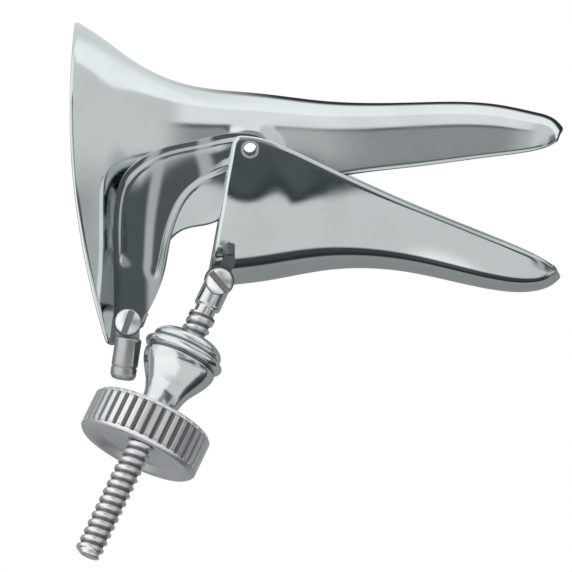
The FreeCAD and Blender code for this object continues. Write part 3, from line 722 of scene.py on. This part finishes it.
class SPECULUM_OT_spindle(bpy.types.Operator):
    """Add the spindle with its cut thread and its eye"""
    bl_idname = "speculum.spindle"
    bl_label = "Spindle"

    def execute(self, context):
        """The groove follows a helix: radius = outer - depth*(1 - step(crest)).

        crest is |2*((height/pitch - angle/turn) mod 1) - 1|, stretched so that the flanks lie
        between 0 and 1. The groove fades in at the start, and the free end is rounded.
        """
        sizes = fitting_sizes()
        radius, pitch, depth = sizes.rod_radius / MM, sizes.pitch / MM, sizes.thread_depth / MM
        start, end, steps = 8.9, 70.3, 64
        runout, fade, nose_length, nose_drop = 0.6, 1.2, 1.1, 1.5

        def crest(height, turn):
            return (np.abs((height / pitch - turn / TURN) % 1.0 - 0.5) * 2 - 0.2) / 0.6

        heights = np.linspace(start, end, 560)
        angle = np.arange(steps) * TURN / steps
        groove = 1 - smooth_step(crest(heights[:, None], angle[None, :]))
        thread = radius - depth * groove * smooth_step((heights - start - runout) / fade)[:, None]
        nose = np.clip((heights - (end - nose_length)) / nose_length, 0, 1)[:, None]
        thread = thread - (1 - np.sqrt(1 - 0.85 * nose ** 2)) * nose_drop
        surface = turned_grid(np.pad(thread, ((1, 1), (0, 0))), np.pad(heights, 1, mode="edge"),
                              FORK_PIN, SPINDLE_AXIS, steps)
        item = Shape().grid(surface, close_columns=True).object("spindle_thread", 60)
        # Painted shade in the thread's groove.
        paint_shade(item, FORK_PIN, SPINDLE_AXIS, lambda height, reach, turn: (
            smooth_step((0.55 - crest(height, turn)) / 0.5) * (height < end - 1.4)))
        dress(item, finish_of("cut thread"), "screw", "threaded_steel")

        eye_radius, neck_radius = 3.05, 2.35
        seat_radius, hole_radius, clear_radius = 2.97, 1.22, 6.4
        eye = turned([(0, -EYE_HALF), (eye_radius, -EYE_HALF), (eye_radius, EYE_HALF),
                      (0, EYE_HALF)], FORK_PIN, UP, 0.35, name="spindle_eye")
        barrel = turned([(0, 1.0), (eye_radius, 1.0), (eye_radius, 6.6), (neck_radius, 6.9),
                         (neck_radius, 9.4), (0, 9.4)], FORK_PIN, SPINDLE_AXIS, 0.4, name="barrel")
        carve(eye, [barrel], "UNION")
        carve(eye, [rod(clear_radius, FORK_PIN - 8 * UP, FORK_PIN - EYE_HALF * UP, UP),
                    rod(seat_radius, FORK_PIN + EYE_HALF * UP, FORK_PIN + 9 * UP, UP),
                    rod(hole_radius, FORK_PIN - 5 * UP, FORK_PIN + 5 * UP, UP)])
        dress(eye, finish_of("turned fittings"), "screw", "threaded_steel", "spindle")
        return {"FINISHED"}


class SPECULUM_OT_nut(bpy.types.Operator):
    """Add the fluted hand nut"""
    bl_idname = "speculum.nut"
    bl_label = "Hand nut"

    def execute(self, context):
        """A turned profile whose rim is cut by flutes: radius falls by depth in each flute."""
        sizes = fitting_sizes()
        back, thick, outer, chamfer = 34.4, 9.8, 14.0, 0.9
        face, dish, hub = 11.6, 9.5, 5.2
        dish_depth, hub_depth = 1.6, 2.6
        bore = sizes.rod_radius / MM + 0.08
        corners = [(bore, 0.0), (outer - chamfer, 0.0), (outer, chamfer), (outer, thick - chamfer),
                   (outer - chamfer, thick), (face, thick), (dish, thick - dish_depth),
                   (hub, thick - hub_depth), (bore, thick - hub_depth)]
        profile = rounded_profile(corners, 0.5, 6)
        rim = np.column_stack([np.full(24, outer), np.linspace(1.0, thick - 1.0, 24)])
        split = np.argmax(profile[:, 1] > thick / 2)
        profile = np.concatenate([profile[:split], rim, profile[split:]])
        radii, heights = profile[:, 0], profile[:, 1]
        steps = sizes.flutes * 16
        wave = smooth_step((np.cos(np.arange(steps) * TURN / steps * sizes.flutes) + 0.05) / 0.5)
        near_rim = smooth_step((radii - (outer - 1.0)) / 0.9)
        ends = smooth_step((heights - 0.3) / 1.0) * smooth_step((thick - 0.8 - heights) / 1.0)
        cut = sizes.flute_depth / MM * (near_rim * ends)[:, None] * wave[None, :]
        base = FORK_PIN + back * SPINDLE_AXIS
        surface = turned_grid(radii[:, None] - cut, heights, base, SPINDLE_AXIS, steps)
        item = Shape().grid(surface, close_rows=True, close_columns=True).object("fluted_nut", 50)
        # Painted shade in the flutes.
        paint_shade(item, base, SPINDLE_AXIS, lambda height, reach, turn: (
            smooth_step((np.cos(turn * sizes.flutes) - 0.1) / 0.6)
            * smooth_step((reach - (outer - 1.4)) / 0.5)
            * (height > chamfer) * (height < thick - chamfer)))
        dress(item, finish_of("fluted nut"), "nut", "knurled_steel", "knurled_nut")
        return {"FINISHED"}


class SPECULUM_OT_swivel(bpy.types.Operator):
    """Add the turned swivel with its beads, cone and tab"""
    bl_idname = "speculum.swivel"
    bl_label = "Swivel"

    def execute(self, context):
        """A turned profile along the spindle, joined to a flat tab on the swivel's pin."""
        dome_and_beads = [(3.15, 15.3), (3.6, 14.6), (5.0, 14.5), (6.4, 14.9), (7.6, 15.7),
                          (8.15, 16.6), (8.1, 17.3), (7.55, 17.75), (7.6, 18.0), (8.7, 18.1),
                          (9.2, 18.5), (9.28, 19.0), (9.0, 19.6), (8.3, 20.0), (7.9, 20.2),
                          (7.95, 20.5)]
        cone = [(8.45, 20.9), (8.35, 22.0), (7.75, 23.6), (6.55, 25.6), (5.35, 27.5), (4.6, 29.4),
                (4.2, 31.4), (4.1, 34.15), (3.15, 34.15)]
        item = turned(dome_and_beads + cone, FORK_PIN, SPINDLE_AXIS, 0.5, 128, "swivel_turning",
                      50)

        tab_level, tab_inset, half_width, half_thick, pin_hole = 18.2, 3.6, 2.05, 0.95, 1.15
        target = FORK_PIN + tab_level * SPINDLE_AXIS - SWIVEL_PIN
        run = unit(target - SWIVEL_AXIS * np.dot(target, SWIVEL_AXIS))
        length = float(np.dot(target, run)) - tab_inset
        tab = block_shape((0, -half_width, -half_thick), (length, half_width, half_thick),
                          SWIVEL_PIN, square_to(SWIVEL_AXIS, run), "tab")
        carve(tab, [rod(half_width, SWIVEL_PIN - half_thick * SWIVEL_AXIS,
                        SWIVEL_PIN + half_thick * SWIVEL_AXIS, SWIVEL_AXIS)], "UNION")
        carve(tab, [rod(pin_hole, SWIVEL_PIN - 3 * SWIVEL_AXIS, SWIVEL_PIN + 3 * SWIVEL_AXIS,
                        SWIVEL_AXIS)])
        carve(item, [tab], "UNION")
        # Painted shade in the two grooves between the beads.
        paint_shade(item, FORK_PIN, SPINDLE_AXIS, lambda height, reach, turn: (
            np.maximum(np.exp(-((height - 17.85) / 0.22) ** 2),
                       np.exp(-((height - 20.4) / 0.28) ** 2)) * (reach > 7)))
        dress(item, finish_of("turned fittings"), "swivel", "polished_fittings", "swivel_nut_seat")
        return {"FINISHED"}


class SPECULUM_OT_screws(bpy.types.Operator):
    """Add the two slotted screws and the hinge rivets"""
    bl_idname = "speculum.screws"
    bl_label = "Screws and rivets"

    def execute(self, context):
        """Each is a closed profile turned about its own axis."""
        self.screw("post_screw", "upper", np.array(POST_SCREW), 2.88, 2.15, 1.28, 4.6, 70)
        self.screw("fork_screw", "screw", FORK_PIN + EYE_HALF * UP, 2.93, 1.95, 1.18, 5.1, -49)
        self.rivet("near_hinge_rivet", 1)
        self.rivet("far_hinge_rivet", -1)
        return {"FINISHED"}

    def screw(self, name, body, seat, head, tall, shank, length, slot_degrees):
        """A domed head of radius head on a shank, with a slot at that angle from the x axis."""
        rounded = [(head - 0.12, 0.0), (head, 0.15)] + dome(head, tall - 0.95, tall)
        corners = [(0.0, -length), (shank, -length), (shank, 0.0), *rounded]
        item = turned(corners, seat, UP, 0.0, 96, name + "_turning", 50)
        slot_half, slot_depth = 0.72, 0.62
        turn = np.radians(slot_degrees)
        columns = square_to(UP, np.array([np.cos(turn), np.sin(turn), 0]))
        carve(item, [block_shape((-head - 1, -slot_half, tall - slot_depth),
                                 (head + 1, slot_half, tall + 1), seat, columns)])
        # Painted shade on the floor of the slot.
        paint_shade(item, seat, UP, lambda height, reach, angle: (
            0.8 * (np.abs(height - tall + slot_depth) < 0.01)))
        dress(item, finish_of("screw heads"), body, "polished_fittings", name)

    def rivet(self, name, side):
        """A short tube whose outer end is rolled over; side is the way it faces along z."""
        corners = [(1.43, 13.58), (2.2, 13.58), (2.28, 13.86), (1.74, 13.88), (1.74, 18.26),
                   (2.26, 18.27), (2.2, 18.42), (1.98, 18.56), (1.62, 18.1), (1.43, 17.7)]
        item = turned(corners, (0, 0, 0), (0, 0, side), 0.06, 96, name + "_turning", 30)
        # Painted shadow: a dark ring on the rivet's lip, beyond radius 1.8.
        paint_shade(item, (0, 0, 0), (0, 0, side),
             lambda height, reach, angle: smooth_step((reach - 1.8) / 0.3))
        dress(item, finish_of("turned fittings"), "upper", "polished_fittings", name)


class SPECULUM_OT_post(bpy.types.Operator):
    """Add the swivel post"""
    bl_idname = "speculum.post"
    bl_label = "Swivel post"

    def execute(self, context):
        """A turned post with a tongue under the lever, slit for the swivel's tab."""
        tilt = np.radians(8.5)
        axis = np.array([-np.sin(tilt), -np.cos(tilt), 0])
        corners = [(0, 0.02), (2.7, 0.02), (2.98, 0.3), (2.98, 6.3), (2.72, 6.5), (2.72, 6.65),
                   (2.96, 6.85), (2.9, 8.4), (2.4, 9.3), (1.4, 9.56), (0, 9.58)]
        top = SWIVEL_PIN - 4.6 * axis
        item = turned(corners, top, axis, 0.25, 96, "post_turning", 40)

        seat = np.array(POST_SCREW) - [0, 0, LEVER_BRIM]
        tongue_half, tongue_thick, gap = 2.6, 3.0, 0.02
        tongue = block_shape((-tongue_half, -4.3, -tongue_thick), (tongue_half, 0.0, -gap), seat,
                             np.eye(3), "tongue")
        carve(tongue, [rod(tongue_half, seat - [0, 0, tongue_thick], seat - [0, 0, gap], UP)],
              "UNION")
        carve(item, [tongue], "UNION")

        slit_half, pin_hole = 1.5, 1.12
        columns = square_to(SWIVEL_AXIS, np.array([SWIVEL_AXIS[2], 0, -SWIVEL_AXIS[0]]))
        carve(item, [block_shape((-6, -3.6, -slit_half), (6, 3.6, slit_half), SWIVEL_PIN, columns,
                                 "slit"),
                     rod(pin_hole, SWIVEL_PIN - 7 * SWIVEL_AXIS, SWIVEL_PIN + 7 * SWIVEL_AXIS,
                         SWIVEL_AXIS),
                     rod(SCREW_HOLE, seat - [0, 0, 6], seat + [0, 0, 6], UP)])
        dress(item, finish_of("worn post in painted shade"), "upper", "polished_fittings", "swivel_post")
        return {"FINISHED"}


class SPECULUM_OT_fittings(bpy.types.Operator):
    """Finish the fittings that keep their frame shapes"""
    bl_idname = "speculum.fittings"
    bl_label = "Fittings"

    def execute(self, context):
        finishes = {"polished_sheet": "mirror sheet", "polished_fittings": "turned fittings",
                    "threaded_steel": "cut thread", "knurled_steel": "fluted nut"}
        # The lug and the pin take darker copies of the fittings' tint, painted shade.
        own = {"blade_lug": "lug in painted shade", "swivel_pin": "worn post in painted shade"}
        slots = {part["node"]: part["material_slot"] for part in frame["record"]["subparts"]}
        for name, node in frame["nodes"].items():
            material = finish_of(own.get(name, finishes[slots[name]]))
            node.data.materials.clear()
            node.data.materials.append(material)
        return {"FINISHED"}


class SPECULUM_OT_stage(bpy.types.Operator):
    """Add the floor, the lights and the camera"""
    bl_idname = "speculum.stage"
    bl_label = "Stage"

    def execute(self, context):
        scene = bpy.context.scene
        scene.view_settings.view_transform = "Standard"
        self.floor(scene)
        self.world(scene)
        self.lights(scene)
        self.camera(scene)
        return {"FINISHED"}

    def floor(self, scene):
        """A pale table just under the lowest point. The camera sees it plain white; reflections see
        it glow in grey and dark bands along y, which are painted shadow, and grey under the collar.
        """
        gap, half = 0.0002, 3.0
        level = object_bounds()[0][2] - gap
        mesh = bpy.data.meshes.new("floor")
        mesh.from_pydata([(-half, -half, level), (half, -half, level), (half, half, level),
                          (-half, half, level)], [], [(0, 1, 2, 3)])
        floor = bpy.data.objects.new("floor", mesh)
        scene.collection.objects.link(floor)
        material = bpy.data.materials.new("pale table")
        tree = Tree(material)
        seen, mirrored, through = tree.outs(
            "ShaderNodeLightPath", ("Is Camera Ray", "Is Glossy Ray", "Is Transmission Ray"))
        along, across = tree.outs("ShaderNodeSeparateXYZ", "XY",
                                  Vector=tree.out("ShaderNodeTexCoord", output="Object"))
        # Painted shadow for reflections: each band's y in metres and its grey; the ramp's places
        # run from 0 to 1.
        bands = [(-0.45, 0.03), (-0.25, 0.03), (-0.18, 0.32), (-0.02, 0.26),
                 (0.0, 0.04), (0.028, 0.03), (0.036, 0.95), (0.2, 1.0)]
        shift, stretch = 0.45, 1.5
        shade = tree.out("ShaderNodeValToRGB", Fac=(across + shift) * stretch, settings={
            "stops": [((place + shift) * stretch, (grey, grey * 1.03, grey * 1.04, 1.0))
                      for place, grey in bands]})
        # Painted shadow of the collar: grey where the floor lies under it.
        shadow_under_collar = (0 - along).step(-0.01, 0.02) * across.step(0.0, 0.01)
        shade = tree.blend(shadow_under_collar, shade, (0.72, 0.74, 0.75, 1.0))
        table = tree.out("ShaderNodeBsdfDiffuse", Color=(*scene.speculum_colours.floor, 1.0))
        # The floor glows: plain white to the camera, the painted shadow bands to reflections.
        backdrop_and_painted_shadow = tree.out("ShaderNodeEmission", Color=tree.blend(mirrored, WHITE, shade),
                        Strength=1.0)
        mix = tree.out("ShaderNodeMixShader", i0=seen + mirrored + through, i1=table, i2=backdrop_and_painted_shadow)
        tree.node("ShaderNodeOutputMaterial", Surface=mix)
        floor.data.materials.append(material)
        floor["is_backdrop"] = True

    def world(self, scene):
        """A white background round an unseen studio, which only reflections and light meet.

        side, over and up are the x, y and z of a ray's direction. Each zone is 0 outside and 1
        inside, set so that the metal mirrors what it does in the photograph.
        """
        world = bpy.data.worlds.new("studio")
        scene.world = world
        tree = Tree(world)
        seen, = tree.outs("ShaderNodeLightPath", ("Is Camera Ray",))
        side, over, up = tree.outs("ShaderNodeSeparateXYZ", "XYZ",
                                   Vector=tree.out("ShaderNodeTexCoord", output="Generated"))
        # The dark room that the flat walls mirror. Its lower edge is tilted and darkest.
        edge = over + side * 0.25
        room = (edge.step(-0.088, -0.074) * (1 - over.step(0.05, 0.17))
                * side.band((-0.40, -0.15), (0.64, 0.76)))
        room_edge = room * (1 - edge.step(-0.06, -0.01))
        # The grey upper half, pale again towards the tips, and the bright collar's side.
        upper = over.step(-0.05, 0.15)
        tips = side.step(0.15, 0.45)
        collar = (0 - side).step(0.05, 0.30)
        # The bright wall that the upper bill mirrors, with the darker line of the bill's crease.
        top_wall = over.step(0.50, 0.60) * (1 - side.step(0.20, 0.40))
        facet = 1 - up.step(0.60, 0.66)
        crease = up.band((0.64, 0.68), (0.70, 0.76))
        # Dark: low down on the picture's lower side, and beyond the tips, with a haze before it.
        low = (1 - up.step(0.20, 0.30)) * (1 - over.step(-0.7, -0.35))
        beyond = side.step(0.85, 0.91) * over.band((-0.42, -0.22), (0.12, 0.35))
        haze = side.step(0.45, 0.60) * over.band((-0.45, -0.30), (0.10, 0.30))

        pale = (0.66 - upper * 0.36 + upper * tips * 0.36 + collar * 0.65
                + top_wall * facet * 0.55 - top_wall * crease * 0.20)
        dimmed = pale * (1 - haze * 0.30) * (1 - beyond * 0.80) * (1 - low * 0.93)
        level = dimmed * (1 - room) + room * (0.085 - room_edge * 0.075)
        shade = tree.blend(level, (0.0, 0.012, 0.016, 1.0), WHITE)
        background = tree.out("ShaderNodeBackground", Color=tree.blend(seen, shade, WHITE),
                              Strength=1.0)
        tree.node("ShaderNodeOutputWorld", Surface=background)

    def lights(self, scene):
        """One wide soft box above, which reflections don't show."""
        light = bpy.data.lights.new("top box", "AREA")
        light.shape, light.size, light.energy = "SQUARE", 0.6, 4.0
        item = bpy.data.objects.new("top box", light)
        item.location = (0.0, 0.35, 0.6)
        item.rotation_euler = (-Vector(item.location)).to_track_quat("-Z", "Y").to_euler()
        item.visible_glossy = False
        scene.collection.objects.link(item)

    def camera(self, scene):
        """Looks along the hinge axis from 2.8 m, at 4.44 pixels of the picture a millimetre."""
        picture, scale, distance, sensor = 572.0, 4.44, 2.8, 36.0
        hinge_across, hinge_down, depth = 250.0, 148.0, 5.0
        middle = picture / 2
        centre = Vector(((middle - hinge_across) / scale, (hinge_down - middle) / scale,
                         depth)) * MM
        camera = bpy.data.cameras.new("photo camera")
        camera.sensor_width = sensor
        camera.lens = sensor * distance / (picture / scale * MM)
        item = bpy.data.objects.new("photo camera", camera)
        away = Vector((-0.008, 0.032, 1.0)).normalized()
        right = Vector((0.0, 1.0, 0.0)).cross(away).normalized()
        item.location = centre + away * distance
        item.rotation_euler = Matrix((right, away.cross(right), away)).transposed().to_euler()
        scene.collection.objects.link(item)
        scene.camera = item


class SPECULUM_PT_panel(bpy.types.Panel):
    """Buttons for every piece"""
    bl_label = "Speculum"
    bl_idname = "SPECULUM_PT_panel"
    bl_space_type = "VIEW_3D"
    bl_region_type = "UI"
    bl_category = "Speculum"

    def draw(self, context):
        for operator in OPERATORS:
            self.layout.operator(operator.bl_idname)


GROUPS = {"speculum_sheet": SpeculumSheetSizes, "speculum_fittings": SpeculumFittingSizes,
          "speculum_colours": SpeculumColours}
OPERATORS = (SPECULUM_OT_fittings, SPECULUM_OT_upper_blade, SPECULUM_OT_lower_blade,
             SPECULUM_OT_lever, SPECULUM_OT_spindle, SPECULUM_OT_nut, SPECULUM_OT_swivel,
             SPECULUM_OT_screws, SPECULUM_OT_post, SPECULUM_OT_stage)


def register():
    for group in GROUPS.values():
        bpy.utils.register_class(group)
    for name, group in GROUPS.items():
        setattr(bpy.types.Scene, name, PointerProperty(type=group))
    for item in OPERATORS + (SPECULUM_PT_panel,):
        bpy.utils.register_class(item)


def unregister():
    for item in (SPECULUM_PT_panel,) + OPERATORS[::-1]:
        bpy.utils.unregister_class(item)
    for name, group in GROUPS.items():
        delattr(bpy.types.Scene, name)
        bpy.utils.unregister_class(group)


def main():
    """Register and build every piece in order."""
    register()
    for operator in OPERATORS:
        group, action = operator.bl_idname.split(".")
        getattr(getattr(bpy.ops, group), action)()


if __name__ == "__main__":
    main()
